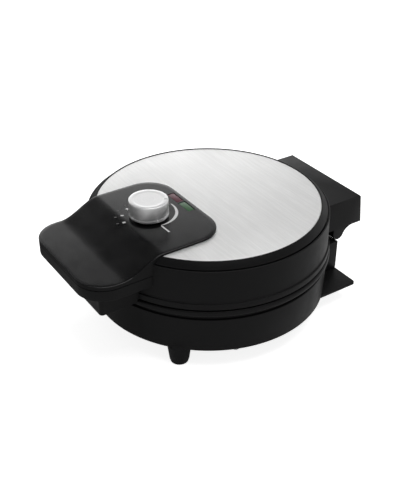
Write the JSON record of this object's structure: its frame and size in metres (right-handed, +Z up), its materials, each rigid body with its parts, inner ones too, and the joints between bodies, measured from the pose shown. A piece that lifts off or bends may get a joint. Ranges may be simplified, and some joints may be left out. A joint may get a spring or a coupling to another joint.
{
  "type": "sandwich maker",
  "caption": "Round countertop sandwich maker with a hinged lid, brushed steel top, temperature knob and front handle.",
  "frame": {"origin": "on the table, under the middle of the whole object", "axes": "+Z up, +Y towards the hinge at the rear, -Y towards the handle, +X to the right seen from the front"},
  "size_m": [0.221, 0.289, 0.1225],
  "materials": {
    "body_plastic": "black moulded plastic, satin, fine grain",
    "panel_plastic": "black plastic, smoother satin",
    "top_steel": "round brushed stainless sheet",
    "knob_silver": "satin silver",
    "plate_coating": "cast aluminium with black non-stick coating",
    "heater_sheath": "oxidised steel tube",
    "bright_sheet": "pressed aluminised sheet",
    "fixings": "zinc plated steel",
    "red_window": "clear red plastic",
    "green_window": "clear green plastic",
    "lamp_glass": "clear glass",
    "phenolic": "dark heat-proof plastic",
    "rubber": "black rubber",
    "lead_sleeve": "woven glass sleeve"
  },
  "bodies": {
    "base": {"lower_housing": "body_plastic", "base_cover": "body_plastic", "lower_hot_plate": "plate_coating", "lower_element": "heater_sheath", "lower_reflector": "bright_sheet", "lower_plate_screw_1": "fixings", "lower_plate_screw_2": "fixings", "lower_plate_screw_3": "fixings", "foot_pad_front_right": "rubber", "foot_pad_front_left": "rubber", "foot_pad_rear_right": "rubber", "foot_pad_rear_left": "rubber", "cover_screw_1": "fixings", "cover_screw_2": "fixings", "cover_screw_3": "fixings", "cover_screw_4": "fixings", "hinge_pin_left": "fixings", "hinge_pin_right": "fixings", "cord_inlet_bush": "rubber", "terminal_block": "phenolic", "base_lead": "lead_sleeve"},
    "lid": {"upper_housing": "body_plastic", "top_bezel": "body_plastic", "steel_top": "top_steel", "handle_panel": "panel_plastic", "handle_lower_shell": "body_plastic", "upper_hot_plate": "plate_coating", "upper_element": "heater_sheath", "upper_reflector": "bright_sheet", "upper_plate_screw_1": "fixings", "upper_plate_screw_2": "fixings", "upper_plate_screw_3": "fixings", "red_lens": "red_window", "green_lens": "green_window", "red_lamp": "lamp_glass", "green_lamp": "lamp_glass", "lamp_holder": "phenolic", "thermostat": "fixings", "thermostat_bracket": "fixings", "bracket_screw_left": "fixings", "bracket_screw_right": "fixings", "handle_screw_left": "fixings", "handle_screw_right": "fixings", "thermal_fuse": "bright_sheet", "lid_lead": "lead_sleeve"},
    "knob": {"knob_cap": "knob_silver", "knob_skirt": "body_plastic", "knob_shaft": "fixings"}
  },
  "joints": [
    {"name": "lid_hinge", "type": "hinge", "parent": "base", "child": "lid", "pos_m": [0, 0.1175, 0.054], "axis": [-1, 0, 0], "range_deg": [0, 95]},
    {"name": "knob_turn", "type": "hinge", "parent": "lid", "child": "knob", "pos_m": [0, -0.0576, 0.1055], "axis": [0, 0, -1], "range_deg": [0, 270]}
  ]
}
